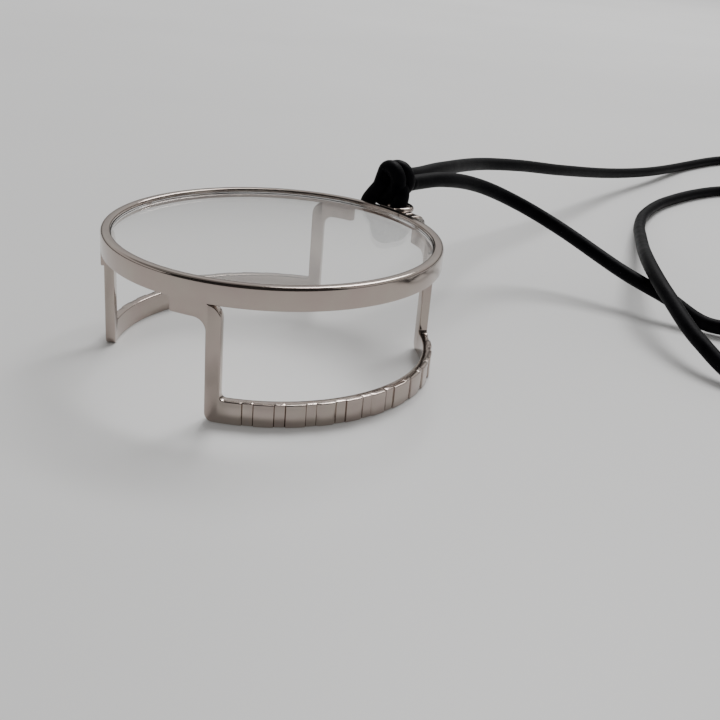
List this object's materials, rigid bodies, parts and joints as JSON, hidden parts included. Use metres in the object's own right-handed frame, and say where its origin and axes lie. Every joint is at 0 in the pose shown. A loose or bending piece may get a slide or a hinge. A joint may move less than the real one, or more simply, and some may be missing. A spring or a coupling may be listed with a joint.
{
  "type": "monocle with galleries and neck cord",
  "caption": "Monocle with a grooved metal rim, fluted galleries that rest in the eye socket, a screwed closing block and a knotted black neck cord.",
  "frame": {"origin": "centre of the rim on the table, at the galleries' underside", "axes": "+Z along the lens axis, up from the table through the galleries to the lens; +X and +Y across the rim, with the closing block in the +X +Y quarter and the front gallery on the -Y side"},
  "size_m": [0.1622, 0.175, 0.0224],
  "materials": {
    "rim_metal": "polished nickel plate",
    "lens_glass": "clear polished",
    "screw_steel": "turned steel",
    "cord_black": "waxed round cord"
  },
  "bodies": {
    "frame": {"eyewire": "rim_metal", "lens": "lens_glass", "front_gallery": "rim_metal", "rear_gallery": "rim_metal", "clear_lug": "rim_metal", "threaded_lug": "rim_metal", "cord_eye": "rim_metal", "cord_knot": "cord_black", "cord_reach": "cord_black", "cord_coil": "cord_black", "cord_return": "cord_black"},
    "screw": {"closing_screw": "screw_steel"}
  },
  "joints": [
    {"name": "closing_screw_turn", "type": "hinge", "parent": "frame", "child": "screw", "pos_m": [0.0186, 0.01231, 0.01525], "axis": [0.5519, -0.8339, 0], "range_deg": [0, 1800]}
  ]
}
